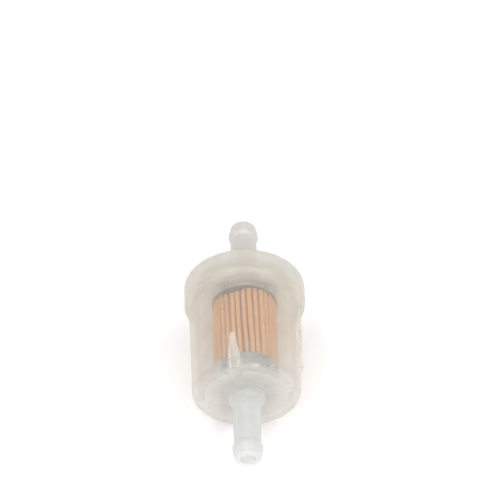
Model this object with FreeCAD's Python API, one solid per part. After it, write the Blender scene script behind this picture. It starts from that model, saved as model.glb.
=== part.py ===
"""Translucent in-line fuel filter for a small engine, one STEP file per sub-part, in millimetres.

The filter lies on its side: its axis is the Y axis, fuel flows towards +Y and Z is up. The origin is on the
axis, halfway between the two barb tips, which is also halfway between the bowl's floor and the cover's face.
Nearly everything is turned about that axis, so most sub-parts are one closed profile of (radius, y) corners.
"""
import FreeCAD, Part
import math
import os

# ---- driving dimensions ---------------------------------------------------------------------------------
OVERALL_LENGTH = 76.4          # barb tip to barb tip
BODY_LENGTH = 36.4             # bowl floor to cover face, without the barbs
COLLAR_RADIUS = 16.0
COVER_EDGE = 1.4               # rounding of the cover's outer edge
BOWL_RADIUS_TOP = 14.7         # the bowl is drafted, so it narrows towards its floor
BOWL_RADIUS_FLOOR = 14.05
BOWL_CORNER = 1.7              # outer radius between the bowl's wall and floor
WALL = 1.5
BORE_RADIUS = 2.0
SOFT_EDGE = 0.4                # rounding of ordinary moulded edges
CRISP_EDGE = 0.12              # rounding of the two rims that show as the parting line

SHAFT_ROOT_RADIUS = 3.8        # barb shaft, drafted, for a hose of 6.35 mm (1/4 in) bore
SHAFT_END_RADIUS = 3.45
BEAD_RADIUS = 3.92
BEAD_START = 16.0              # from the barb's root to the bead
BEAD_RAMP = 0.6
BEAD_LAND = 1.1
NOSE_RADIUS = 3.4
NOSE_LENGTH = 0.6              # the rounded tip beyond the nose cone
TIP_RADIUS = 2.9
TIP_EDGE = 0.25
BOSS_RADIUS = 4.9
BOSS_HEIGHT = 1.3
BOSS_SHOULDER = 0.6            # height of the cone from the boss to the shaft

RIB_AZIMUTHS = (-15.5, 74.5, 164.5, 254.5)    # degrees from +Z towards +X
RIB_FOOT_THICKNESS = 2.4       # the ribs are drafted: thick at the floor, thinner at the wedge's tip
RIB_TIP_THICKNESS = 1.1
RIB_LINE_THICKNESS = 0.6       # the low line from the wedge's tip up to the rim
ARROW_AZIMUTH = 74.5
ARROW_LENGTH = 20.5
ARROW_HEAD_LENGTH = 8.0
ARROW_HEAD_HALF = 2.5
ARROW_SHAFT_HALF = 1.7
ARROW_LINE = 0.5
ARROW_RADIUS = 15.0            # the raised outline's top face

CAP_RADIUS = 8.95
CAP_HEIGHT = 4.6
CAP_SHEET = 0.3
CAP_EDGE = 1.0                 # outer bend radius of the pressed caps
ELEMENT_LENGTH = 31.0          # over both caps

PLEATS = 31
PAPER_RADIUS = 8.5             # crests
PAPER_INNER_RADIUS = 5.4       # valleys
PAPER_THICKNESS = 0.3
FOLD_RADIUS = 0.5              # outer side of each fold
POTTING_DEPTH = 2.6
POTTING_FLOOR = 1.1            # potting between the paper's edge and the cap

TUBE_RADIUS = 5.2
TUBE_SHEET = 0.3
TUBE_HOLE_RADIUS = 0.9
TUBE_HOLES_AROUND = 8
TUBE_HOLE_ROWS = 7

SPIGOT_RADIUS = 3.2
SPIGOT_LENGTH = 3.4
SEAL_WEB_RADIUS = 4.2          # also the hole in the upper cap
SEAL_UPPER_RADIUS = 5.8
SEAL_LOWER_RADIUS = 4.7
SEAL_LIP = 0.8

COVER_PLATE = 1.4
STEP_PROUD = 0.15              # small moulded step halfway up the flare

# ---- positions worked out from them ---------------------------------------------------------------------
FLOOR_Y = -BODY_LENGTH / 2
COVER_Y = BODY_LENGTH / 2
BARB_LENGTH = (OVERALL_LENGTH - BODY_LENGTH) / 2
NECK_Y = FLOOR_Y + 26.7        # top of the straight wall, where it flares to the collar
STEP_Y = FLOOR_Y + 28.5
LAND_Y = FLOOR_Y + 29.7        # the flare reaches the collar's full radius
PARTING_Y = FLOOR_Y + 30.3     # bowl and cover meet
COVER_INNER_Y = COVER_Y - COVER_PLATE
CAVITY_RADIUS_TOP = BOWL_RADIUS_TOP - WALL
CAVITY_RADIUS_FLOOR = BOWL_RADIUS_FLOOR - WALL
CAVITY_Y = FLOOR_Y + WALL

LOWER_CAP_Y = FLOOR_Y + 3.0
UPPER_CAP_Y = LOWER_CAP_Y + ELEMENT_LENGTH
TUBE_INNER_RADIUS = TUBE_RADIUS - TUBE_SHEET
FIN_INNER_RADIUS = 3.0
GUIDE_RADIUS = CAP_RADIUS + 0.2
RIB_PROUD = 0.25               # how far the shallow part of a rib stands off the wall
RIB_TOP_Y = PARTING_Y - 0.3
RIB_ROOT_RADIUS = 13.5         # inside the wall's thickness all the way up
RIB_ROOT_Y = FLOOR_Y + WALL / 2
WEDGE_TOP_Y = FLOOR_Y + 12.2
WEDGE_LOW_Y = FLOOR_Y + 5.0
ARROW_TIP_Y = FLOOR_Y + 26.2
ARROW_ROOT_RADIUS = 13.6       # inside the wall's thickness, like the ribs' roots

ORIGIN = FreeCAD.Vector(0, 0, 0)
AXIS = FreeCAD.Vector(0, 1, 0)


# ---- geometry helpers -----------------------------------------------------------------------------------
def point(radius, along, across=0.0):
    """A point of a profile drawn in the X-Y plane: X is the radius and Y runs along the filter's axis."""
    return FreeCAD.Vector(radius, along, across)


def rounded_face(corners):
    """A flat face from (radius, y) or (radius, y, fillet) corners, with each fillet as a tangent arc."""
    edges = []
    first = None
    last = None
    for index, corner in enumerate(corners):
        here = point(corner[0], corner[1])
        fillet = corner[2] if len(corner) > 2 else 0.0
        before = point(*corners[index - 1][:2])
        after = point(*corners[(index + 1) % len(corners)][:2])
        if fillet > 0.0:
            to_before = (before - here).normalize()
            to_after = (after - here).normalize()
            half = to_before.getAngle(to_after) / 2
            setback = fillet / math.tan(half)
            start = here + to_before * setback
            end = here + to_after * setback
            inward = (to_before + to_after).normalize()
            middle = here + inward * (fillet / math.sin(half) - fillet)
            arc = Part.Arc(start, middle, end).toShape()
        else:
            start = here
            end = here
            arc = None
        if last is not None:
            edges.append(Part.makeLine(last, start))
        if arc is not None:
            edges.append(arc)
        if first is None:
            first = start
        last = end
    edges.append(Part.makeLine(last, first))
    return Part.Face(Part.Wire(edges))


def turned(corners):
    """The solid of revolution of a closed profile about the filter's axis."""
    return rounded_face(corners).revolve(ORIGIN, AXIS, 360)


def at_azimuth(shape, azimuth):
    """Turn a shape drawn on the +X side to an azimuth measured from +Z towards +X."""
    placed = shape.copy()
    placed.rotate(ORIGIN, AXIS, azimuth - 90)
    return placed


def ring(outer, inner, low, high):
    """A plain ring about the axis between two heights."""
    return turned([(inner, low), (outer, low), (outer, high), (inner, high)])


def barb_corners(root_y, direction):
    """The outside of a hose barb from its root boss to its tip, pointing along direction (+1 or -1)."""
    heights = [
        (BOSS_RADIUS, 0.0, SOFT_EDGE),
        (BOSS_RADIUS, BOSS_HEIGHT, SOFT_EDGE),
        (SHAFT_ROOT_RADIUS, BOSS_HEIGHT + BOSS_SHOULDER, SOFT_EDGE),
        (SHAFT_END_RADIUS, BEAD_START - BEAD_RAMP),
        (BEAD_RADIUS, BEAD_START),
        (BEAD_RADIUS, BEAD_START + BEAD_LAND),
        (NOSE_RADIUS, BARB_LENGTH - NOSE_LENGTH, SOFT_EDGE),
        (TIP_RADIUS, BARB_LENGTH, TIP_EDGE),
    ]
    return [(radius, root_y + direction * height, *fillet) for radius, height, *fillet in heights]


# ---- bowl -----------------------------------------------------------------------------------------------
def bowl_shell():
    """The drafted cup with its flared neck and rim, and the inlet barb under the floor."""
    barb = barb_corners(FLOOR_Y, -1)
    barb.reverse()
    tip_y = FLOOR_Y - BARB_LENGTH
    neck_slope = (COLLAR_RADIUS - BOWL_RADIUS_TOP) / (LAND_Y - NECK_Y)
    step_radius = BOWL_RADIUS_TOP + (STEP_Y - NECK_Y) * neck_slope
    outside = [
        (BOWL_RADIUS_FLOOR, FLOOR_Y, BOWL_CORNER),
        (BOWL_RADIUS_TOP, NECK_Y, SOFT_EDGE),
        (step_radius, STEP_Y),
        (step_radius + STEP_PROUD, STEP_Y),
        (COLLAR_RADIUS, LAND_Y, CRISP_EDGE),
        (COLLAR_RADIUS, PARTING_Y, CRISP_EDGE),
    ]
    inside = [
        (CAVITY_RADIUS_TOP, PARTING_Y, CRISP_EDGE),
        (CAVITY_RADIUS_TOP, NECK_Y),
        (CAVITY_RADIUS_FLOOR, CAVITY_Y, BOWL_CORNER / 2),
        (BORE_RADIUS, CAVITY_Y, SOFT_EDGE),
    ]
    return turned([(BORE_RADIUS, tip_y, TIP_EDGE)] + barb + outside + inside)


def cavity_radius(y):
    """The drafted cavity's radius at a height below the neck."""
    share = (y - CAVITY_Y) / (NECK_Y - CAVITY_Y)
    return CAVITY_RADIUS_FLOOR + (CAVITY_RADIUS_TOP - CAVITY_RADIUS_FLOOR) * share


def rib_outline():
    """A rib's outline seen from the axis, as a face across the X axis: a line, a drafted wedge and a foot."""
    one_side = [
        (RIB_LINE_THICKNESS / 2, RIB_TOP_Y),
        (RIB_LINE_THICKNESS / 2, WEDGE_TOP_Y),
        (RIB_TIP_THICKNESS / 2, WEDGE_TOP_Y),
        (RIB_FOOT_THICKNESS / 2, WEDGE_LOW_Y),
        (RIB_FOOT_THICKNESS / 2, RIB_ROOT_Y),
    ]
    other_side = [(-across, y) for across, y in reversed(one_side)]
    vectors = [point(0.0, y, across) for across, y in one_side + other_side]
    return Part.Face(Part.makePolygon(vectors + vectors[:1]))


def rib():
    """One inside rib: a low line up the wall, a wedge that guides the cap and a fin that it stands on."""
    side = rounded_face([
        (RIB_ROOT_RADIUS, RIB_TOP_Y),
        (CAVITY_RADIUS_TOP - RIB_PROUD, RIB_TOP_Y, CRISP_EDGE),
        (CAVITY_RADIUS_TOP - RIB_PROUD, NECK_Y),
        (cavity_radius(WEDGE_TOP_Y) - RIB_PROUD, WEDGE_TOP_Y),
        (GUIDE_RADIUS, WEDGE_LOW_Y, SOFT_EDGE),
        (GUIDE_RADIUS, LOWER_CAP_Y),
        (FIN_INNER_RADIUS, LOWER_CAP_Y, SOFT_EDGE),
        (FIN_INNER_RADIUS, RIB_ROOT_Y),
        (RIB_ROOT_RADIUS, RIB_ROOT_Y),
    ])
    slab = side.extrude(FreeCAD.Vector(0, 0, RIB_FOOT_THICKNESS))
    slab.translate(FreeCAD.Vector(0, 0, -RIB_FOOT_THICKNESS / 2))
    prism = rib_outline().extrude(FreeCAD.Vector(COLLAR_RADIUS, 0, 0))
    return slab.common(prism)


def arrow_face(inset):
    """The flow arrow's outline, drawn flat with its tip towards +Y and moved in by inset on every side."""
    head_slope = math.atan2(ARROW_HEAD_HALF, ARROW_HEAD_LENGTH)
    head_y = ARROW_TIP_Y - ARROW_HEAD_LENGTH + inset
    tip_y = ARROW_TIP_Y - inset / math.sin(head_slope)
    head_half = (tip_y - head_y) * math.tan(head_slope)
    shaft_half = ARROW_SHAFT_HALF - inset
    tail_y = ARROW_TIP_Y - ARROW_LENGTH + inset
    one_side = [(head_half, head_y), (shaft_half, head_y), (shaft_half, tail_y)]
    other_side = [(-across, y) for across, y in reversed(one_side)]
    outline = [(0.0, tip_y)] + one_side + other_side
    vectors = [point(0.0, y, across) for across, y in outline]
    return Part.Face(Part.makePolygon(vectors + vectors[:1]))


def arrow():
    """The raised outline: a bar that follows the arrow, cut to a skin that starts inside the wall."""
    bar = arrow_face(0.0).cut(arrow_face(ARROW_LINE)).Faces[0]
    prism = bar.extrude(FreeCAD.Vector(2 * COLLAR_RADIUS, 0, 0))
    skin = ring(ARROW_RADIUS, ARROW_ROOT_RADIUS, LOWER_CAP_Y, PARTING_Y)
    return prism.common(skin)


def bowl():
    """The shell with its ribs and arrow, all one moulding."""
    ribs = [at_azimuth(rib(), azimuth) for azimuth in RIB_AZIMUTHS]
    moulding = bowl_shell().fuse(ribs + [at_azimuth(arrow(), ARROW_AZIMUTH)])
    return moulding.removeSplitter()


# ---- cover ----------------------------------------------------------------------------------------------
def outlet_cover():
    """Collar and lid in one: the outlet barb outside, the spigot inside, and a rim welded to the bowl's rim."""
    spigot_y = COVER_INNER_Y - SPIGOT_LENGTH
    tip_y = COVER_Y + BARB_LENGTH
    inside = [
        (BORE_RADIUS, spigot_y, TIP_EDGE),
        (SPIGOT_RADIUS, spigot_y, SOFT_EDGE),
        (SPIGOT_RADIUS, COVER_INNER_Y),
        (CAVITY_RADIUS_TOP, COVER_INNER_Y, SOFT_EDGE),
        (CAVITY_RADIUS_TOP, PARTING_Y, CRISP_EDGE),
        (COLLAR_RADIUS, PARTING_Y, CRISP_EDGE),
        (COLLAR_RADIUS, COVER_Y, COVER_EDGE),
    ]
    return turned(inside + barb_corners(COVER_Y, 1) + [(BORE_RADIUS, tip_y, TIP_EDGE)])


# ---- filter element -------------------------------------------------------------------------------------
def cap_corners(closed_y, direction, hole_radius):
    """A pressed cup of sheet metal that opens along direction, with a round hole unless it is zero."""
    rim_y = closed_y + direction * CAP_HEIGHT
    sheet_y = closed_y + direction * CAP_SHEET
    return [
        (hole_radius, closed_y),
        (CAP_RADIUS, closed_y, CAP_EDGE),
        (CAP_RADIUS, rim_y),
        (CAP_RADIUS - CAP_SHEET, rim_y),
        (CAP_RADIUS - CAP_SHEET, sheet_y, CAP_EDGE - CAP_SHEET),
        (hole_radius, sheet_y),
    ]


def lower_end_cap():
    return turned(cap_corners(LOWER_CAP_Y, 1, 0.0))


def upper_end_cap():
    return turned(cap_corners(UPPER_CAP_Y, -1, SEAL_WEB_RADIUS))


def pleat_wire(crest_fold, valley_fold, low_y):
    """One side of the pleated strip: round crests and valleys of the given radii joined by tangent lines."""
    half_pitch = math.pi / PLEATS
    crest_at = PAPER_RADIUS - FOLD_RADIUS
    valley_at = PAPER_INNER_RADIUS + FOLD_RADIUS
    folds = []
    for number in range(2 * PLEATS):
        is_crest = number % 2 == 0
        centre_radius = crest_at if is_crest else valley_at
        fold = crest_fold if is_crest else valley_fold
        angle = number * half_pitch
        outward = FreeCAD.Vector(math.cos(angle), 0, math.sin(angle))
        centre = outward * centre_radius + AXIS * low_y
        bulge = outward if is_crest else outward * -1
        folds.append((centre, fold, centre + bulge * fold, is_crest))

    ends = []
    for index, (centre, fold, _, is_crest) in enumerate(folds):
        next_centre, next_fold, _, _ = folds[(index + 1) % len(folds)]
        across = next_centre - centre
        lean = (fold + next_fold) / across.Length
        along = across.normalize()
        side = along.cross(AXIS) * (-1 if is_crest else 1)
        normal = along * lean + side * math.sqrt(1 - lean * lean)
        ends.append((centre + normal * fold, next_centre - normal * next_fold))

    edges = []
    for index, (_, _, middle, _) in enumerate(folds):
        edges.append(Part.Arc(ends[index - 1][1], middle, ends[index][0]).toShape())
        edges.append(Part.makeLine(*ends[index]))
    return Part.Wire(edges)


def pleated_paper():
    """The strip folded into a closed star, standing in the potting of both caps."""
    low_y = LOWER_CAP_Y + CAP_SHEET + POTTING_FLOOR
    high_y = UPPER_CAP_Y - CAP_SHEET - POTTING_FLOOR
    inner_fold = FOLD_RADIUS - PAPER_THICKNESS
    outside = Part.Face(pleat_wire(FOLD_RADIUS, inner_fold, low_y))
    inside = Part.Face(pleat_wire(inner_fold, FOLD_RADIUS, low_y))
    strip = outside.cut(inside).Faces[0]
    return strip.extrude(AXIS * (high_y - low_y))


def potting(closed_y, direction, paper):
    """The adhesive in one cap: a ring around the centre tube that the paper's edge is sunk into."""
    sheet_y = closed_y + direction * CAP_SHEET
    surface_y = sheet_y + direction * POTTING_DEPTH
    fill = turned([
        (TUBE_RADIUS, sheet_y),
        (CAP_RADIUS - CAP_SHEET, sheet_y, CAP_EDGE - CAP_SHEET),
        (CAP_RADIUS - CAP_SHEET, surface_y),
        (TUBE_RADIUS, surface_y),
    ])
    return fill.cut(paper)


def centre_tube():
    """The perforated tube inside the pleats, between the two caps."""
    low_y = LOWER_CAP_Y + CAP_SHEET
    high_y = UPPER_CAP_Y - CAP_SHEET
    tube = ring(TUBE_RADIUS, TUBE_INNER_RADIUS, low_y, high_y)
    free_low = low_y + POTTING_DEPTH
    row_pitch = (high_y - low_y - 2 * POTTING_DEPTH) / TUBE_HOLE_ROWS
    drills = []
    for row in range(TUBE_HOLE_ROWS):
        row_y = free_low + (row + 0.5) * row_pitch
        stagger = 0.5 * (row % 2)
        drill = Part.makeCylinder(
            TUBE_HOLE_RADIUS, CAP_RADIUS, point(0, row_y), FreeCAD.Vector(1, 0, 0))
        for number in range(TUBE_HOLES_AROUND):
            drills.append(at_azimuth(drill, 360 * (number + stagger) / TUBE_HOLES_AROUND))
    return tube.cut(drills)


def outlet_seal():
    """The rubber grommet on the cover's spigot, with the upper cap's sheet in its groove."""
    sheet_low = UPPER_CAP_Y - CAP_SHEET
    return turned([
        (SPIGOT_RADIUS, sheet_low - SEAL_LIP),
        (SEAL_LOWER_RADIUS, sheet_low - SEAL_LIP, SOFT_EDGE),
        (SEAL_LOWER_RADIUS, sheet_low),
        (SEAL_WEB_RADIUS, sheet_low),
        (SEAL_WEB_RADIUS, UPPER_CAP_Y),
        (SEAL_UPPER_RADIUS, UPPER_CAP_Y),
        (SEAL_UPPER_RADIUS, COVER_INNER_Y),
        (SPIGOT_RADIUS, COVER_INNER_Y),
    ])


# ---- all sub-parts --------------------------------------------------------------------------------------
def main():
    paper = pleated_paper()
    sub_parts = {
        "bowl": bowl(),
        "outlet_cover": outlet_cover(),
        "upper_end_cap": upper_end_cap(),
        "lower_end_cap": lower_end_cap(),
        "pleated_paper": paper,
        "upper_potting": potting(UPPER_CAP_Y, -1, paper),
        "lower_potting": potting(LOWER_CAP_Y, 1, paper),
        "centre_tube": centre_tube(),
        "outlet_seal": outlet_seal(),
    }
    os.makedirs("parts", exist_ok=True)
    for name, shape in sub_parts.items():
        solid, = shape.Solids
        print(name, "valid", solid.isValid(), "volume", round(solid.Volume, 2))
        solid.exportStep(os.path.join("parts", name + ".step"))


main()
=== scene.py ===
"""The looks of a translucent in-line fuel filter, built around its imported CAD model.

The filter's axis is the frame's Y axis, with the inlet barb towards -Y. The housing, the pressed caps, the
centre tube and the seal are the CAD's own shapes with procedural materials. The pleated paper and the two
rings of adhesive are made here, because the real ones are uneven. Lengths are in metres, and a number times
MM is a length given in millimetres.
"""

import math
import random

import bpy
import numpy as np
from mathutils import Matrix, Vector


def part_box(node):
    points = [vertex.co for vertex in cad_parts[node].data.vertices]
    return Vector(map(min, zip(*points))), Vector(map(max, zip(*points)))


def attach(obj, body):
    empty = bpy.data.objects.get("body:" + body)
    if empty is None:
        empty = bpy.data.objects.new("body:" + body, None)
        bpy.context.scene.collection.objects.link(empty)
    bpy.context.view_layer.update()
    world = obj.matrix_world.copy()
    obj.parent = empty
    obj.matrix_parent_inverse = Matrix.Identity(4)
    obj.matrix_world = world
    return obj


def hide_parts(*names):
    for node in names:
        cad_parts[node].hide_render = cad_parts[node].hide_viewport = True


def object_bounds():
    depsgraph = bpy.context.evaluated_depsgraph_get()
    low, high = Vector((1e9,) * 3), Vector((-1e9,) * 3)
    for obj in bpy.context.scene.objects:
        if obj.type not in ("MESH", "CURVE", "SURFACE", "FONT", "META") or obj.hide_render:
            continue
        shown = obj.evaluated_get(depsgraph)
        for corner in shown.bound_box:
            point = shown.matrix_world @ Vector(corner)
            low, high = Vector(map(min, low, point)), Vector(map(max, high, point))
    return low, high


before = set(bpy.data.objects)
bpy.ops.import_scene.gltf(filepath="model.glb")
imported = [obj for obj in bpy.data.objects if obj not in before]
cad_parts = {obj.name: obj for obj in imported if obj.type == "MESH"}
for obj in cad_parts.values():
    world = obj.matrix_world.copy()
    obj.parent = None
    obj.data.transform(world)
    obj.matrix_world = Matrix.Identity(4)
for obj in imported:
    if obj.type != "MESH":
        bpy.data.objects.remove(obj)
cad_low, cad_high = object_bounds()
MM = 0.001


# ---- places read from the frame -------------------------------------------------------------------------
def span(node, axis):
    """Lowest and highest value of a CAD node along one axis of the frame."""
    low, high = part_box(node)
    return low[axis], high[axis]


LOWER_CAP_Y, LOWER_RIM_Y = span("lower_end_cap", 1)
UPPER_RIM_Y, UPPER_CAP_Y = span("upper_end_cap", 1)
CAP_RADIUS = span("upper_end_cap", 2)[1]
PAPER_RADIUS = span("pleated_paper", 2)[1]
PAPER_LOW_Y, PAPER_HIGH_Y = span("pleated_paper", 1)
TUBE_RADIUS = span("centre_tube", 2)[1]
COLLAR_RADIUS = span("outlet_cover", 2)[1]
PARTING_Y = span("outlet_cover", 1)[0]
INLET_TIP_Y = cad_low[1]
OUTLET_TIP_Y = cad_high[1]
BARB_LENGTH = 20.0 * MM         # of each barb, up to the bowl's floor or the cover's lid
FLOOR_Y = INLET_TIP_Y + BARB_LENGTH
COVER_Y = OUTLET_TIP_Y - BARB_LENGTH
NECK_Y = FLOOR_Y + 26.7 * MM    # where the bowl's wall starts to flare
ARROW_RADIUS = 15.0 * MM        # the raised arrow's outer face


# ---- node helpers ---------------------------------------------------------------------------------------
class Nodes:
    """A new material and short calls that add nodes to it."""

    def __init__(self, name):
        self.material = bpy.data.materials.new(name)
        self.material.use_nodes = True
        self.tree = self.material.node_tree
        self.tree.nodes.clear()
        self.output = self.tree.nodes.new("ShaderNodeOutputMaterial")

    def add(self, kind, inputs=None, **settings):
        """A node with its settings; inputs maps a socket's name or number to a value or another socket."""
        node = self.tree.nodes.new("ShaderNode" + kind)
        for key, value in settings.items():
            setattr(node, key, value)
        for key, value in (inputs or {}).items():
            self.set(node.inputs[key], value)
        return node

    def set(self, socket, value):
        if isinstance(value, bpy.types.NodeSocket):
            self.tree.links.new(value, socket)
        else:
            socket.default_value = value

    def math(self, operation, *values, clamp=False):
        node = self.add("Math", dict(enumerate(values)), operation=operation, use_clamp=clamp)
        return node.outputs[0]

    def place(self):
        """The point in the frame, in metres: the CAD nodes and the pieces here all sit at the origin."""
        return self.add("TexCoord").outputs["Object"]

    def apart(self, vector):
        return self.add("SeparateXYZ", {0: vector}).outputs

    def noise(self, vector, scale, detail=3.0, roughness=0.5):
        node = self.add("TexNoise", {"Vector": vector, "Scale": scale, "Detail": detail,
                                     "Roughness": roughness})
        return node.outputs["Fac"]

    def stretched(self, vector, scale):
        return self.add("Mapping", {"Vector": vector, "Scale": scale}).outputs[0]

    def between(self, value, low, high, to_low=0.0, to_high=1.0):
        """Maps value from low..high to to_low..to_high with smooth ends."""
        node = self.add("MapRange", {"Value": value, "From Min": low, "From Max": high,
                                     "To Min": to_low, "To Max": to_high},
                        interpolation_type="SMOOTHSTEP")
        return node.outputs[0]

    def blend(self, share, first, second):
        node = self.add("Mix", data_type="RGBA")
        self.set(node.inputs["Factor"], share)
        self.set(node.inputs["A"], first)
        self.set(node.inputs["B"], second)
        return node.outputs["Result"]

    def bump(self, height, distance, strength=1.0):
        node = self.add("Bump", {"Height": height, "Distance": distance, "Strength": strength})
        return node.outputs[0]

    def from_axis(self, x, z):
        """Distance from the filter's axis."""
        return self.math("SQRT", self.math("ADD", self.math("MULTIPLY", x, x), self.math("MULTIPLY", z, z)))

    def off_fin(self, place):
        """Distance from the middle plane of the nearest rib or fin."""
        turned = self.add("VectorRotate", {"Vector": place, "Angle": RIB_ANGLE}, rotation_type="Y_AXIS")
        x, y, z = self.apart(turned.outputs[0])
        return self.math("MINIMUM", self.math("ABSOLUTE", x), self.math("ABSOLUTE", z))

    def finish(self, shader):
        self.tree.links.new(shader, self.output.inputs["Surface"])
        return self.material


# ---- materials ------------------------------------------------------------------------------------------
WHITE = (1.0, 1.0, 1.0, 1.0)
NOISE_SPREAD = (0.3, 0.7)       # most values of a noise texture lie between these

# Share of the light that each face of the plastic scatters, seen head-on.
WALL_HAZE = 0.185
COLLAR_HAZE = 0.31
WELD_HAZE = 0.22
FLOOR_HAZE = 0.42
BOSS_HAZE = 0.45
RIB_HAZE = 0.90
FIN_HAZE = 0.44                 # where the floor is backed by a solid fin
CORNER_HAZE = 0.22
ARROW_HAZE = 0.32
BARB_HAZE = 0.62
LEAST_SLANT = 0.77              # cosines between which the haze grows as the plastic turns away
MOST_SLANT = 0.50
CLOUDING = (0.95, 1.05)         # slow change of the haze from place to place

# Where each of them starts and is full: distances from the axis, from the middle of a fin, and heights.
COLLAR_HEIGHTS = (NECK_Y, PARTING_Y - 0.6 * MM)
CORNER_HEIGHTS = (FLOOR_Y + 3.5 * MM, FLOOR_Y + 2.0 * MM)
CORNER_RADII = (11.2 * MM, 11.8 * MM)
WELD_REACH = (0.02 * MM, 0.0)
FLOOR_RADII = (12.0 * MM, 10.2 * MM)
FLOOR_CLEARER_RADII = (6.5 * MM, 10.4 * MM)
FLOOR_CLEARER = (0.84, 1.0)     # the floor's haze is weaker towards the boss
FLOOR_HEIGHTS = (FLOOR_Y + 1.65 * MM, FLOOR_Y + 1.55 * MM)
BOSS_RADII = (8.0 * MM, 4.9 * MM)
BOSS_HEIGHTS = (FLOOR_Y + 0.2 * MM, FLOOR_Y + 0.1 * MM)
RIB_RADII = (12.45 * MM, 12.25 * MM)
RIB_REACH = (1.40 * MM, 1.25 * MM)
RIB_FOOT_HEIGHTS = (FLOOR_Y + 1.45 * MM, FLOOR_Y + 1.7 * MM)
RIB_TOP_HEIGHTS = (PARTING_Y, PARTING_Y - 0.2 * MM)
FIN_REACH = (2.6 * MM, 1.1 * MM)
FIN_RADII = (13.6 * MM, 12.2 * MM)
FIN_HEIGHTS = (FLOOR_Y + 1.2 * MM, FLOOR_Y + 0.9 * MM)
INLET_HEIGHTS = (FLOOR_Y, FLOOR_Y - 1.9 * MM)
OUTLET_HEIGHTS = (COVER_Y - 0.6 * MM, COVER_Y + 0.2 * MM)
ARROW_RADII = (ARROW_RADIUS - 0.15 * MM, ARROW_RADIUS - 0.08 * MM)
ARROW_HEIGHTS = (NECK_Y, NECK_Y - 0.1 * MM)
CAP_SIDE_RADII = (CAP_RADIUS - 0.10 * MM, CAP_RADIUS)
CAP_FACE_REACH = (0.02 * MM, 0.04 * MM)
RIB_ANGLE = math.radians(15.5)  # the cross of ribs and fins is turned about the axis by this much

# The milk's tones, and where one gives way to the next; the darker tone in the bowl's lower corner is
# painted shade.
INLET_TONE = (0.83, 0.835, 0.82, 1.0)
BODY_TONE = (0.90, 0.875, 0.825, 1.0)
FLOOR_TONE = (0.825, 0.80, 0.775, 1.0)
OUTLET_TONE = (0.87, 0.85, 0.825, 1.0)
# painted shade: a darker milk for the bowl's lower corner
CORNER_SHADE_TONE = (0.79, 0.76, 0.73, 1.0)
RIB_TONE = (0.96, 0.94, 0.91, 1.0)
CLEAR_TONE = (0.985, 0.98, 0.965, 1.0)
BODY_TONE_HEIGHTS = (FLOOR_Y - 1.5 * MM, FLOOR_Y + 4.0 * MM)
FLOOR_TONE_HEIGHTS = (FLOOR_Y - 0.5 * MM, FLOOR_Y - 0.05 * MM)
FLOOR_TONE_HAZE = (0.0, 0.3)
OUTLET_TONE_HEIGHTS = (COVER_Y - 0.5 * MM, COVER_Y + 3.0 * MM)

# The plastic's gloss: smooth on the walls, dull at the bowl's corner and on the arrow, stronger at a slant.
SMOOTH_GLOSS = 0.28
DULL_GLOSS = 0.55
DULL_RANGE = (0.0, 0.4)
GLOSS_HEAD_ON = 0.03
GLOSS_AT_A_SLANT = 0.2
GLOSS_EXPONENT = 5.0
WAVES_STRETCH = (1.0, 0.35, 1.0)  # long waves along the axis, with some finer grain on them
MOULDING_SHARE = 0.2
LIT_THROUGH = 0.5               # share of the milk's light that comes from behind


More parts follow.
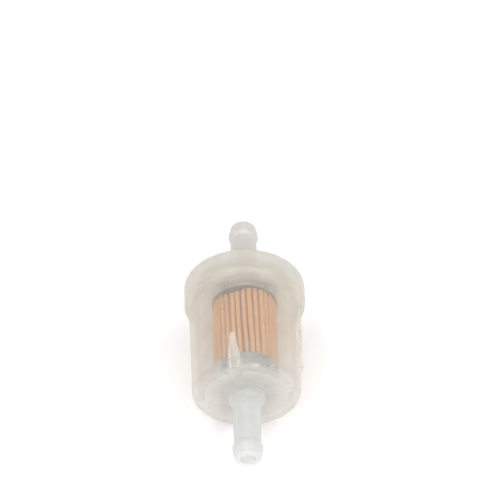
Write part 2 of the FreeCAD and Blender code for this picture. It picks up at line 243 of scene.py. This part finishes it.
def housing_plastic():
    """Milky plastic: a haze over clear plastic, stronger in the collar, the floor, the ribs and barbs, with
    painted shade in the bowl's lower corner.
    """
    n = Nodes("housing_plastic")
    place = n.place()
    x, y, z = n.apart(place)
    radius = n.from_axis(x, z)
    off_fin = n.off_fin(place)
    off_weld = n.math("ABSOLUTE", n.math("SUBTRACT", y, PARTING_Y))
    off_cap_face = n.math("ABSOLUTE", n.math("SUBTRACT", y, LOWER_CAP_Y))

    # The haze of each place, and the strongest of them where they meet.
    haze_head_on = n.between(y, *COLLAR_HEIGHTS, WALL_HAZE, COLLAR_HAZE)
    in_corner = n.math("MULTIPLY", n.between(y, *CORNER_HEIGHTS), n.between(radius, *CORNER_RADII))
    haze_head_on = n.math("SUBTRACT", haze_head_on, n.math("MULTIPLY", in_corner, WALL_HAZE - CORNER_HAZE))
    on_weld = n.between(off_weld, *WELD_REACH, 0.0, WELD_HAZE)
    on_floor = n.between(radius, *FLOOR_RADII, 0.0, FLOOR_HAZE)
    on_floor = n.math("MULTIPLY", on_floor, n.between(radius, *FLOOR_CLEARER_RADII, *FLOOR_CLEARER))
    on_floor = n.math("MULTIPLY", on_floor, n.between(y, *FLOOR_HEIGHTS))
    by_boss = n.between(radius, *BOSS_RADII, 0.0, BOSS_HAZE)
    by_boss = n.math("MULTIPLY", by_boss, n.between(y, *BOSS_HEIGHTS))
    on_rib = n.math("MULTIPLY", n.between(radius, *RIB_RADII), n.between(y, *RIB_TOP_HEIGHTS, 0.0, RIB_HAZE))
    on_rib = n.math("MULTIPLY", on_rib, n.between(y, *RIB_FOOT_HEIGHTS))
    on_rib = n.math("MULTIPLY", on_rib, n.between(off_fin, *RIB_REACH))
    over_fin = n.between(off_fin, *FIN_REACH, 0.0, FIN_HAZE)
    over_fin = n.math("MULTIPLY", over_fin, n.between(radius, *FIN_RADII))
    over_fin = n.math("MULTIPLY", over_fin, n.between(y, *FIN_HEIGHTS))
    on_inlet = n.between(y, *INLET_HEIGHTS, 0.0, BARB_HAZE)
    on_outlet = n.between(y, *OUTLET_HEIGHTS, 0.0, BARB_HAZE)
    on_arrow = n.between(radius, *ARROW_RADII)
    on_arrow = n.math("MULTIPLY", on_arrow, n.between(y, *ARROW_HEIGHTS, 0.0, ARROW_HAZE))
    for local_haze in (on_weld, on_floor, by_boss, on_rib, on_arrow, over_fin, on_inlet, on_outlet):
        haze_head_on = n.math("MAXIMUM", haze_head_on, local_haze)
    cloud = n.noise(place, scale=200.0, detail=2.0)
    haze_head_on = n.math("MULTIPLY", haze_head_on, n.between(cloud, *NOISE_SPREAD, *CLOUDING))

    # No haze where the ribs touch the lower cap, whose face lies in the same place.
    off_cap = n.math("MAXIMUM", n.between(radius, *CAP_SIDE_RADII), n.between(off_cap_face, *CAP_FACE_REACH))
    haze_head_on = n.math("MULTIPLY", haze_head_on, off_cap)

    # Plastic seen at a slant is looked through over a longer way.
    facing = n.add("LayerWeight", {"Blend": 0.5}).outputs["Facing"]
    slant = n.math("MAXIMUM", n.math("SUBTRACT", 1.0, facing), MOST_SLANT)
    slant = n.math("MINIMUM", slant, LEAST_SLANT)
    depth = n.math("DIVIDE", LEAST_SLANT, n.math("MULTIPLY", slant, slant))
    clear = n.math("POWER", n.math("SUBTRACT", 1.0, haze_head_on), depth)
    haze = n.math("SUBTRACT", 1.0, clear, clamp=True)

    moulding = n.noise(place, scale=700.0, detail=3.0, roughness=0.6)
    waves = n.noise(n.stretched(place, WAVES_STRETCH), scale=130.0, detail=1.0)
    height = n.math("ADD", n.math("MULTIPLY", moulding, MOULDING_SHARE), waves)
    normal = n.bump(height, distance=0.02 * MM, strength=0.10)

    tone = n.blend(n.between(y, *BODY_TONE_HEIGHTS), INLET_TONE, BODY_TONE)
    floor_share = n.between(on_floor, *FLOOR_TONE_HAZE)
    floor_share = n.math("MULTIPLY", floor_share, n.between(y, *FLOOR_TONE_HEIGHTS))
    tone = n.blend(floor_share, tone, FLOOR_TONE)
    tone = n.blend(n.between(y, *OUTLET_TONE_HEIGHTS), tone, OUTLET_TONE)
    # Painted shade: the milk is darker in the bowl's lower corner.
    tone = n.blend(in_corner, tone, CORNER_SHADE_TONE)
    tone = n.blend(on_rib, tone, RIB_TONE)
    lit = n.add("BsdfDiffuse", {"Color": tone, "Normal": normal}).outputs[0]
    lit_through = n.add("BsdfTranslucent", {"Color": tone, "Normal": normal}).outputs[0]
    milk = n.add("MixShader", {0: LIT_THROUGH, 1: lit, 2: lit_through}).outputs[0]
    glass = n.add("BsdfTransparent", {"Color": CLEAR_TONE}).outputs[0]
    body = n.add("MixShader", {0: haze, 1: glass, 2: milk}).outputs[0]

    dull = n.between(n.math("MAXIMUM", in_corner, on_arrow), *DULL_RANGE, SMOOTH_GLOSS, DULL_GLOSS)
    gloss = n.add("BsdfGlossy", {"Color": WHITE, "Roughness": dull, "Normal": normal}).outputs[0]
    skin = n.math("MULTIPLY", n.math("POWER", facing, GLOSS_EXPONENT), GLOSS_AT_A_SLANT)
    skin = n.math("ADD", GLOSS_HEAD_ON, skin)
    return n.finish(n.add("MixShader", {0: skin, 1: body, 2: gloss}).outputs[0])


TIN_GREY = (0.49, 0.54, 0.555, 1.0)
TIN_BLOOM = (0.41, 0.455, 0.47, 1.0)
TIN_CRYSTAL = (0.64, 0.66, 0.64, 1.0)
CRYSTAL_SHARE = 0.15
TIN_ROUGHNESS = (0.15, 0.22)
DRAWING_STRETCH = (0.2, 5.0, 0.2)  # the drawing lines run round the axis


def tinplate():
    """Pressed tinplate: bright tin with fine drawing lines, faint crystal patches and a dull bloom."""
    n = Nodes("tinplate")
    place = n.place()
    patches = n.add("TexVoronoi", {"Vector": place, "Scale": 380.0, "Randomness": 1.0}).outputs["Color"]
    bloom = n.noise(place, scale=240.0, detail=3.0, roughness=0.5)
    lines = n.noise(n.stretched(place, DRAWING_STRETCH), scale=800.0, detail=2.0)
    grey = n.blend(n.between(bloom, 0.35, 0.7), TIN_GREY, TIN_BLOOM)
    grey = n.blend(n.math("MULTIPLY", n.apart(patches)[0], CRYSTAL_SHARE), grey, TIN_CRYSTAL)
    rough = n.between(bloom, 0.3, 0.75, *TIN_ROUGHNESS)
    normal = n.bump(lines, distance=0.01 * MM, strength=0.06)
    surface = n.add("BsdfPrincipled", {"Base Color": grey, "Metallic": 1.0, "Roughness": rough,
                                       "Normal": normal})
    return n.finish(surface.outputs[0])


# Painted shade: the paper's tone darkens from the crests towards the valleys.
PAPER_VALLEY_SHADE_TONE = (0.85, 0.22, 0.05, 1.0)
PAPER_CREST_TONE = (0.97, 0.52, 0.14, 1.0)
PAPER_MOTTLE_TONE = (0.86, 0.34, 0.055, 1.0)
PAPER_FIBRE_TONE = (0.96, 0.62, 0.22, 1.0)
PAPER_MARK_TONE = (0.30, 0.10, 0.04, 1.0)
PAPER_SHADE_RADII = (PAPER_RADIUS - 1.15 * MM, PAPER_RADIUS - 0.25 * MM)
MOTTLE_SHARE = 0.30
FIBRE_SHARE = 0.20
MARK_SHARE = 0.6
MARK_REACH = (1.3 * MM, 0.5 * MM)
MARK_RAGGEDNESS = 1.6 * MM
MARK_STRETCH = (1.0, 2.6, 1.0)  # the marks are flatter than they are wide
FIBRE_STRETCH = (1.0, 0.6, 1.0)
PAPER_LET_THROUGH = 0.30
PAPER_MARKS = (                 # faint pressed marks: angle from +Z towards +X, height over the bowl's floor
    (math.radians(-55.5), 14.9 * MM),
    (math.radians(59.5), 21.2 * MM),
)


def filter_paper():
    """Resin-treated filter paper: orange, with fibres, painted shade in the valleys and two pressed marks.
    """
    n = Nodes("filter_paper")
    place = n.place()
    x, y, z = n.apart(place)
    radius = n.from_axis(x, z)
    fibre = n.noise(n.stretched(place, FIBRE_STRETCH), scale=2600.0, detail=5.0, roughness=0.65)
    mottle = n.noise(place, scale=420.0, detail=3.0)
    # Painted shade in the valleys, darkening the paper inwards from the crests.
    tone = n.blend(n.between(radius, *PAPER_SHADE_RADII), PAPER_VALLEY_SHADE_TONE, PAPER_CREST_TONE)
    tone = n.blend(n.between(mottle, 0.35, 0.7, 0.0, MOTTLE_SHARE), tone, PAPER_MOTTLE_TONE)
    tone = n.blend(n.between(fibre, 0.45, 0.75, 0.0, FIBRE_SHARE), tone, PAPER_FIBRE_TONE)
    for angle, rise in PAPER_MARKS:
        middle = (PAPER_RADIUS * math.sin(angle), FLOOR_Y + rise, PAPER_RADIUS * math.cos(angle))
        offset = n.add("VectorMath", {0: place, 1: middle}, operation="SUBTRACT").outputs[0]
        flattened = n.stretched(offset, MARK_STRETCH)
        reach = n.add("VectorMath", {0: flattened}, operation="LENGTH").outputs["Value"]
        reach = n.math("ADD", reach, n.math("MULTIPLY", n.math("SUBTRACT", fibre, 0.5), MARK_RAGGEDNESS))
        tone = n.blend(n.between(reach, *MARK_REACH, 0.0, MARK_SHARE), tone, PAPER_MARK_TONE)
    normal = n.bump(fibre, distance=0.04 * MM, strength=0.25)
    lit = n.add("BsdfPrincipled", {"Base Color": tone, "Roughness": 0.82, "Normal": normal}).outputs[0]
    through = n.add("BsdfTranslucent", {"Color": tone, "Normal": normal}).outputs[0]
    return n.finish(n.add("MixShader", {0: PAPER_LET_THROUGH, 1: lit, 2: through}).outputs[0])


# The adhesive's near-black tones are also painted shadow, for the shade under the upper cap's rim.
ADHESIVE_AND_SHADOW_TONES = ((0.010, 0.012, 0.018, 1.0), (0.030, 0.030, 0.034, 1.0))
ADHESIVE_ROUGHNESS = (0.5, 0.7)
RUBBER_TONES = ((0.018, 0.018, 0.018, 1.0), (0.035, 0.034, 0.032, 1.0))


def potting():
    """Dark cured adhesive with a soft skin; its near-black tone is also painted shadow where the adhesive
    stands under the upper cap's rim.
    """
    n = Nodes("potting")
    place = n.place()
    lumps = n.noise(place, scale=700.0, detail=4.0, roughness=0.6)
    tone = n.blend(n.between(lumps, *NOISE_SPREAD), *ADHESIVE_AND_SHADOW_TONES)
    rough = n.between(lumps, *NOISE_SPREAD, *ADHESIVE_ROUGHNESS)
    surface = n.add("BsdfPrincipled", {"Base Color": tone, "Roughness": rough, "Specular IOR Level": 0.15,
                                       "Normal": n.bump(lumps, distance=0.08 * MM, strength=0.5)})
    return n.finish(surface.outputs[0])


def seal_rubber():
    """Black moulded rubber with a fine matt grain."""
    n = Nodes("seal_rubber")
    place = n.place()
    grain = n.noise(place, scale=3000.0, detail=3.0, roughness=0.6)
    tone = n.blend(n.between(grain, *NOISE_SPREAD), *RUBBER_TONES)
    surface = n.add("BsdfPrincipled", {"Base Color": tone, "Roughness": 0.6,
                                       "Normal": n.bump(grain, distance=0.02 * MM, strength=0.4)})
    return n.finish(surface.outputs[0])


TABLE_TONE = (0.93, 0.93, 0.93, 1.0)
TABLE_GLOW = 0.12


def table_white():
    """The pale table: almost white, with a slight glow that stands for the light of a bright studio."""
    n = Nodes("table_white")
    lit = n.add("BsdfDiffuse", {"Color": TABLE_TONE}).outputs[0]
    glow = n.add("Emission", {"Color": WHITE, "Strength": TABLE_GLOW}).outputs[0]
    return n.finish(n.add("AddShader", {0: lit, 1: glow}).outputs[0])


MATERIALS = {make.__name__: make()
             for make in (housing_plastic, tinplate, filter_paper, potting, seal_rubber)}


def finish_node(node, name):
    """Gives a CAD node one of the materials."""
    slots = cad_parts[node].data.materials
    slots.clear()
    slots.append(MATERIALS[name])


# ---- mesh helpers ---------------------------------------------------------------------------------------
def mesh_piece(name, rings, material):
    """A closed mesh from rings of points: rings[i][j], closed both along i and along j."""
    rows, columns = rings.shape[:2]
    i, j = np.meshgrid(np.arange(rows), np.arange(columns), indexing="ij")
    after_i = (i + 1) % rows
    after_j = (j + 1) % columns
    faces = np.stack([i * columns + j, i * columns + after_j,
                      after_i * columns + after_j, after_i * columns + j], axis=-1)
    mesh = bpy.data.meshes.new(name)
    mesh.from_pydata(rings.reshape(-1, 3).tolist(), [], faces.reshape(-1, 4).tolist())
    mesh.materials.append(MATERIALS[material])
    mesh.shade_smooth()
    mesh.update()
    piece = bpy.data.objects.new(name, mesh)
    bpy.context.scene.collection.objects.link(piece)
    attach(piece, "root")
    return piece


def around(radius, angle, y):
    """Points from cylindrical places; the angle runs from +Z towards +X."""
    return np.stack([radius * np.sin(angle), np.broadcast_to(y, radius.shape), radius * np.cos(angle)], -1)


# ---- pleated paper --------------------------------------------------------------------------------------
PLEATS = 31
PAPER_THICKNESS = 0.3 * MM
FOLD_RADIUS = 0.60 * MM
VALLEY_RADIUS = 5.9 * MM        # of the middles of the folds at the centre tube
VALLEY_FOLD_SHARE = 0.7         # those folds are tighter than the ones outside
PLEAT_LEAN = -0.62              # how far a pleat leans from bottom to top, in pitches
PLEAT_BELLY = 0.05 * MM
PAPER_ROWS = 56
CREST_STEPS = 9
VALLEY_STEPS = 5
FLANK_STEPS = 5


def fold_plan():
    """For each row up the paper, where every crest and valley fold is: angle, radius and fold radius."""
    draw = random.Random(7)
    pitch = 2 * math.pi / PLEATS
    height = np.linspace(0.0, 1.0, PAPER_ROWS)
    angles = np.zeros((PAPER_ROWS, 2 * PLEATS))
    radii = np.zeros_like(angles)
    folds = np.zeros_like(angles)
    for number in range(2 * PLEATS):
        is_crest = number % 2 == 0
        # The shift, the lean and the wave are shares of a pitch; turns is how often the wave repeats.
        shift = draw.uniform(-0.07, 0.07)
        lean = PLEAT_LEAN + draw.uniform(-0.12, 0.12)
        wave = draw.uniform(0.01, 0.04)
        phase = draw.uniform(0.0, 2 * math.pi)
        turns = draw.uniform(0.7, 1.8)
        swell = draw.uniform(-0.10, 0.06) * MM
        fat = draw.uniform(0.90, 1.03)
        ripple = wave * np.sin(2 * math.pi * turns * height + phase)
        angles[:, number] = pitch * (number / 2 + shift + lean * (height - 0.5) + ripple)
        base = PAPER_RADIUS - FOLD_RADIUS if is_crest else VALLEY_RADIUS
        belly = PLEAT_BELLY * np.sin(math.pi * height + phase)
        radii[:, number] = base + (swell + belly if is_crest else 0.0)
        folds[:, number] = FOLD_RADIUS * (fat if is_crest else VALLEY_FOLD_SHARE)
    highest_crest = PAPER_RADIUS - FOLD_RADIUS  # so that the paper stays inside the CAD's
    radii[:, 0::2] = np.minimum(radii[:, 0::2], highest_crest)
    return angles, radii, folds


def paper_side(angles, radii, folds, outer):
    """One side of the strip as points per row: arcs round the folds joined by straight flanks."""
    is_crest = np.arange(2 * PLEATS) % 2 == 0
    fold_outer = np.where(is_crest, folds, folds - PAPER_THICKNESS)
    fold_inner = np.where(is_crest, folds - PAPER_THICKNESS, folds)
    fold = fold_outer if outer else fold_inner
    centre = np.stack([radii * np.cos(angles), radii * np.sin(angles)], -1)
    after = np.roll(centre, -1, axis=1)
    after_fold = np.roll(fold, -1, axis=1)
    across = after - centre
    length = np.linalg.norm(across, axis=-1, keepdims=True)
    along = across / length
    lean = ((fold + after_fold)[..., None]) / length
    turn = np.where(is_crest, 1.0, -1.0)[None, :, None]
    side = np.stack([-along[..., 1], along[..., 0]], -1) * -turn
    normal = along * lean + side * np.sqrt(1.0 - lean ** 2)
    leave = centre + normal * fold[..., None]
    arrive = after - normal * after_fold[..., None]

    pieces = []
    for number in range(2 * PLEATS):
        steps = CREST_STEPS if is_crest[number] else VALLEY_STEPS
        start = arrive[:, number - 1] - centre[:, number]
        end = leave[:, number] - centre[:, number]
        first = np.arctan2(start[:, 1], start[:, 0])
        last = np.arctan2(end[:, 1], end[:, 0])
        sweep = (last - first + math.pi) % (2 * math.pi) - math.pi
        outward = angles[:, number] + (0.0 if is_crest[number] else math.pi)
        middle = (outward - first + math.pi) % (2 * math.pi) - math.pi
        sweep = np.where(np.sign(middle) == np.sign(sweep), sweep, sweep - np.sign(sweep) * 2 * math.pi)
        share = np.linspace(0.0, 1.0, steps)
        angle = first[:, None] + sweep[:, None] * share
        arc = np.stack([np.cos(angle), np.sin(angle)], -1) * fold[:, number, None, None]
        pieces.append(centre[:, number, None, :] + arc)
        share = np.linspace(0.0, 1.0, FLANK_STEPS + 2)[1:-1, None]
        pieces.append(leave[:, number, None, :] * (1 - share) + arrive[:, number, None, :] * share)
    return np.concatenate(pieces, axis=1)


def pleated_paper():
    """The strip, folded unevenly: every pleat leans, waves and swells a little differently."""
    angles, radii, folds = fold_plan()
    heights = np.linspace(PAPER_LOW_Y, PAPER_HIGH_Y, PAPER_ROWS)
    outside = paper_side(angles, radii, folds, True)
    inside = paper_side(angles, radii, folds, False)
    flat = np.concatenate([outside, inside[::-1]], axis=0)
    y = np.concatenate([heights, heights[::-1]])
    points = np.stack([flat[..., 1], np.broadcast_to(y[:, None], flat.shape[:2]), flat[..., 0]], -1)
    piece = mesh_piece("pleated_paper_folded", points, "filter_paper")
    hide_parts("pleated_paper")
    return piece


# ---- adhesive, with painted shadow under the upper cap's rim --------------------------------------------
POTTING_COLUMNS = 372
POTTING_STEPS = 9
# The smear is painted shadow: dark adhesive run over the crests where the upper cap's rim shades the paper.
SHADOW_SMEAR_ANGLE = math.radians(-22.0)
SHADOW_SMEAR_WIDTH = math.radians(24.0)
ADHESIVE_WAVES = (2, 5, 9, 23, 31, 47)
UNEVENNESS = 0.35 * MM
RIM_GAP = 0.32 * MM             # the caps' 0.3 mm sheet and a hair more, so that no faces coincide
SHEET_GAP = 0.31 * MM
TUBE_GAP = 0.02 * MM
TUBE_DROP = 1.3 * MM            # the adhesive stands lower at the tube than at the rim by this much
EDGE_INSET = 0.12 * MM          # its rounded edge at the rim
EDGE_DROP = 0.15 * MM
SKIRT_DROP = 1.0 * MM           # and how it narrows below, inside the cap's rounded corner
SKIRT_INSET = 0.6 * MM


def adhesive_ring(name, sheet_y, edge_y, shadow_smear, node):
    """A ring of adhesive in a cap: its free surface creeps up between the pleats and over the cap's rim. In
    the upper cap, the ring raised to the rim and smeared over the crests is painted shadow under the rim.

    It starts at sheet_y, on the cap's sheet, and meets the rim at edge_y. shadow_smear is how far it runs
    over the crests near SHADOW_SMEAR_ANGLE; that smear is painted shadow.
    """
    draw = random.Random(11)
    angle = np.linspace(0.0, 2 * math.pi, POTTING_COLUMNS, endpoint=False)
    rise = math.copysign(1.0, edge_y - sheet_y)
    outer = CAP_RADIUS - RIM_GAP
    inner = TUBE_RADIUS + TUBE_GAP
    uneven = np.zeros_like(angle)
    for waves in ADHESIVE_WAVES:
        uneven += draw.uniform(0.03, 0.12) * np.sin(waves * angle + draw.uniform(0.0, 2 * math.pi))
    away = (angle - SHADOW_SMEAR_ANGLE + math.pi) % (2 * math.pi) - math.pi
    edge = edge_y + rise * (shadow_smear * np.exp(-(away / SHADOW_SMEAR_WIDTH) ** 2) + UNEVENNESS * uneven)
    inner_level = edge_y - rise * TUBE_DROP + rise * UNEVENNESS * uneven
    rows = [around(np.full_like(angle, inner), angle, sheet_y)]
    for share in np.linspace(0.0, 1.0, POTTING_STEPS):
        radius = inner + (outer - EDGE_INSET - inner) * share
        level = inner_level + (edge - inner_level) * share ** 2
        rows.append(around(np.full_like(angle, radius), angle, level))
    rows.append(around(np.full_like(angle, outer), angle, edge - rise * EDGE_DROP))
    rows.append(around(np.full_like(angle, outer), angle, edge_y - rise * SKIRT_DROP))
    rows.append(around(np.full_like(angle, outer - SKIRT_INSET), angle, sheet_y))
    piece = mesh_piece(name, np.stack(rows), "potting")
    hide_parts(node)
    return piece


# ---- the object -----------------------------------------------------------------------------------------
for cad_node in ("bowl", "outlet_cover"):
    finish_node(cad_node, "housing_plastic")
for cad_node in ("lower_end_cap", "upper_end_cap", "centre_tube"):
    finish_node(cad_node, "tinplate")
finish_node("outlet_seal", "seal_rubber")
pleated_paper()
adhesive_ring("lower_potting_ring", sheet_y=LOWER_CAP_Y + SHEET_GAP, edge_y=LOWER_RIM_Y - 1.2 * MM,
              shadow_smear=0.3 * MM, node="lower_potting")
# The upper ring, raised to the rim and smeared over the crests, is painted shadow under the cap's rim.
adhesive_ring("upper_potting_and_shadow_ring", sheet_y=UPPER_CAP_Y - SHEET_GAP, edge_y=UPPER_RIM_Y - 0.30 * MM,
              shadow_smear=1.2 * MM, node="upper_potting")


# ---- stage ----------------------------------------------------------------------------------------------
ELEVATION = math.radians(50.6)  # the camera's, fitted to the outline in the photo
ROLL = math.radians(1.37)
DISTANCE = 0.636                # from the camera to the inlet side of the bowl
LENS = 177.8                    # focal length in mm, on a film SENSOR_WIDTH mm wide
SENSOR_WIDTH = 36.0
FRAMING_RIGHT = 0.85 * MM
FRAMING_UP = 37.62 * MM
TABLE_REACH = 6.0               # half of its side, in metres
BRIGHT_SIDE = (0.0, -0.60, 0.75)  # the room is white towards here and dim at a right angle to it and beyond
ROOM_LIGHT = 0.95
ROOM_DIM_TONE = (0.20, 0.21, 0.22, 1.0)
ROOM_BRIGHT_FROM = 0.75         # the room is white where a direction's product with BRIGHT_SIDE passes this
SOFTBOXES = (                   # name, place, width and length in metres, watts
    ("right_strip", (0.30, -0.10, 0.48), (0.14, 0.90), 0.9),
    ("left_strip", (-0.20, -0.10, 0.50), (0.10, 0.90), 0.9),
    ("front_light", (0.02, -0.58, 0.40), (0.64, 0.12), 1.00),
    ("front_right_light", (0.46, -0.42, 0.26), (0.24, 0.12), 0.20),
    ("front_left_light", (-0.46, -0.42, 0.26), (0.24, 0.12), 0.16),
)


def table_top():
    """A large plain floor that the collar rests on."""
    size = TABLE_REACH
    level = -COLLAR_RADIUS
    mesh = bpy.data.meshes.new("table_top")
    corners = [(-size, -size, level), (size, -size, level), (size, size, level), (-size, size, level)]
    mesh.from_pydata(corners, [], [(0, 1, 2, 3)])
    mesh.materials.append(table_white())
    floor = bpy.data.objects.new("table_top", mesh)
    bpy.context.scene.collection.objects.link(floor)


def softbox(name, place, size, power):
    """A rectangular area light turned to face the filter, with its second size along the filter."""
    data = bpy.data.lights.new(name, "AREA")
    data.shape = "RECTANGLE"
    data.size, data.size_y = size
    data.energy = power
    light = bpy.data.objects.new(name, data)
    light.location = place
    light.rotation_euler = (math.atan2(-place[1], math.hypot(place[0], place[2])),
                            math.atan2(place[0], place[2]), 0.0)
    bpy.context.scene.collection.objects.link(light)


def surroundings():
    """A bright room, dimmer away from the camera's side; the camera itself sees a plain pale backdrop."""
    world = bpy.data.worlds.new("studio")
    world.use_nodes = True
    tree = world.node_tree
    tree.nodes.clear()
    direction = tree.nodes.new("ShaderNodeTexCoord").outputs["Generated"]
    height = tree.nodes.new("ShaderNodeVectorMath")
    height.operation = "DOT_PRODUCT"
    tree.links.new(direction, height.inputs[0])
    height.inputs[1].default_value = BRIGHT_SIDE
    ramp = tree.nodes.new("ShaderNodeValToRGB")
    ramp.color_ramp.elements[0].position = 0.0
    ramp.color_ramp.elements[0].color = ROOM_DIM_TONE
    ramp.color_ramp.elements[1].position = ROOM_BRIGHT_FROM
    ramp.color_ramp.elements[1].color = WHITE
    tree.links.new(height.outputs["Value"], ramp.inputs[0])
    room = tree.nodes.new("ShaderNodeBackground")
    tree.links.new(ramp.outputs[0], room.inputs["Color"])
    room.inputs["Strength"].default_value = ROOM_LIGHT
    seen = tree.nodes.new("ShaderNodeBackground")
    seen.inputs["Color"].default_value = TABLE_TONE
    rays = tree.nodes.new("ShaderNodeLightPath")
    mix = tree.nodes.new("ShaderNodeMixShader")
    tree.links.new(rays.outputs["Is Camera Ray"], mix.inputs[0])
    tree.links.new(room.outputs[0], mix.inputs[1])
    tree.links.new(seen.outputs[0], mix.inputs[2])
    output = tree.nodes.new("ShaderNodeOutputWorld")
    tree.links.new(mix.outputs[0], output.inputs["Surface"])
    bpy.context.scene.world = world


def camera():
    """The camera looks along the filter from above its inlet, rolled slightly."""
    right = Vector((math.cos(ROLL), -math.sin(ELEVATION) * math.sin(ROLL),
                    -math.cos(ELEVATION) * math.sin(ROLL)))
    forward = Vector((0.0, math.cos(ELEVATION), -math.sin(ELEVATION)))
    up = right.cross(forward)
    inlet_face = Vector((0.0, FLOOR_Y, 0.0))
    place = inlet_face + FRAMING_RIGHT * right + FRAMING_UP * up - DISTANCE * forward
    data = bpy.data.cameras.new("camera")
    data.lens = LENS
    data.sensor_width = SENSOR_WIDTH
    data.clip_start = 0.01
    data.clip_end = 50.0
    eye = bpy.data.objects.new("camera", data)
    turn = Matrix((right, up, -forward)).transposed()
    eye.matrix_world = Matrix.Translation(place) @ turn.to_4x4()
    bpy.context.scene.collection.objects.link(eye)
    bpy.context.scene.camera = eye


table_top()
surroundings()
for light_name, light_place, light_size, watts in SOFTBOXES:
    softbox(light_name, light_place, light_size, watts)
camera()
bpy.context.scene.view_settings.view_transform = "Standard"
